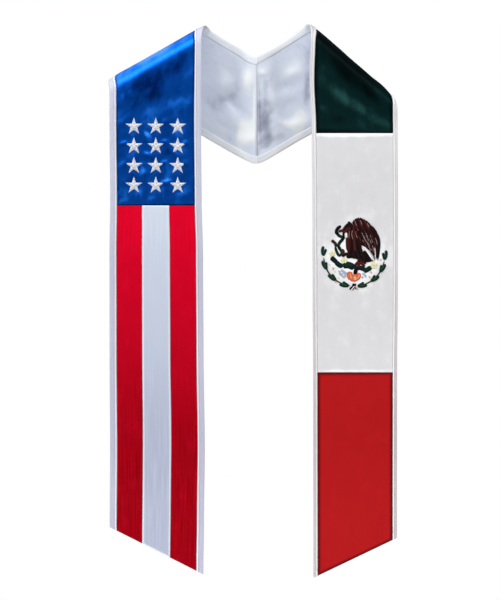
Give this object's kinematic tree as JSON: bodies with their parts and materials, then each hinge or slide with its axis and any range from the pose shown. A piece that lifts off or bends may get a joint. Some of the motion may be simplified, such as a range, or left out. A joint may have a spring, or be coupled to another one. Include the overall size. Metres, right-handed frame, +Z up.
{
  "type": "graduation stole",
  "caption": "Satin graduation stole, pointed at both ends and mitred at the nape, starred stripes on one half and an embroidered tricolour on the other.",
  "frame": {"origin": "top of the mitred seam at the nape, where the stole rests on the wearer's neck", "axes": "+Z up, +Y towards the wearer's back, so the front panels face -Y, +X to the wearer's left"},
  "size_m": [0.4277, 0.0728, 0.8206],
  "materials": {
    "blue_satin": "glossy satin",
    "red_satin": "glossy satin",
    "crimson_satin": "satin",
    "green_satin": "satin",
    "white_satin": "satin",
    "trim_satin": "satin, folded and stitched down",
    "lining_satin": "satin",
    "white_thread": "satin-stitched thread",
    "brown_thread": "satin-stitched thread",
    "green_thread": "satin-stitched thread",
    "teal_thread": "satin-stitched thread",
    "orange_thread": "satin-stitched thread",
    "blue_thread": "satin-stitched thread",
    "yellow_thread": "satin-stitched thread"
  },
  "bodies": {
    "root": {"star_field": "blue_satin", "stripe_1": "red_satin", "stripe_2": "white_satin", "stripe_3": "red_satin", "green_panel": "green_satin", "white_panel": "white_satin", "red_panel": "crimson_satin", "stripes_trim_inner_front": "trim_satin", "stripes_trim_outer_front": "trim_satin", "stripes_lining_front": "lining_satin", "stripes_trim_inner_shoulder": "trim_satin", "stripes_trim_outer_shoulder": "trim_satin", "stripes_lining_shoulder": "lining_satin", "stripes_trim_inner_neck": "trim_satin", "stripes_trim_outer_neck": "trim_satin", "stripes_lining_neck": "lining_satin", "tricolour_trim_inner_front": "trim_satin", "tricolour_trim_outer_front": "trim_satin", "tricolour_lining_front": "lining_satin", "tricolour_trim_inner_shoulder": "trim_satin", "tricolour_trim_outer_shoulder": "trim_satin", "tricolour_lining_shoulder": "lining_satin", "tricolour_trim_inner_neck": "trim_satin", "tricolour_trim_outer_neck": "trim_satin", "tricolour_lining_neck": "lining_satin", "star_1_1": "white_thread", "star_1_2": "white_thread", "star_1_3": "white_thread", "star_2_1": "white_thread", "star_2_2": "white_thread", "star_2_3": "white_thread", "star_3_1": "white_thread", "star_3_2": "white_thread", "star_3_3": "white_thread", "star_4_1": "white_thread", "star_4_2": "white_thread", "star_4_3": "white_thread", "eagle": "brown_thread", "snake": "green_thread", "cactus": "teal_thread", "rock": "orange_thread", "water_1": "blue_thread", "water_2": "blue_thread", "blossom_1": "yellow_thread", "blossom_2": "yellow_thread", "blossom_3": "yellow_thread", "wreath_left": "green_thread", "wreath_right": "green_thread", "ribbon": "white_thread"}
  },
  "joints": []
}
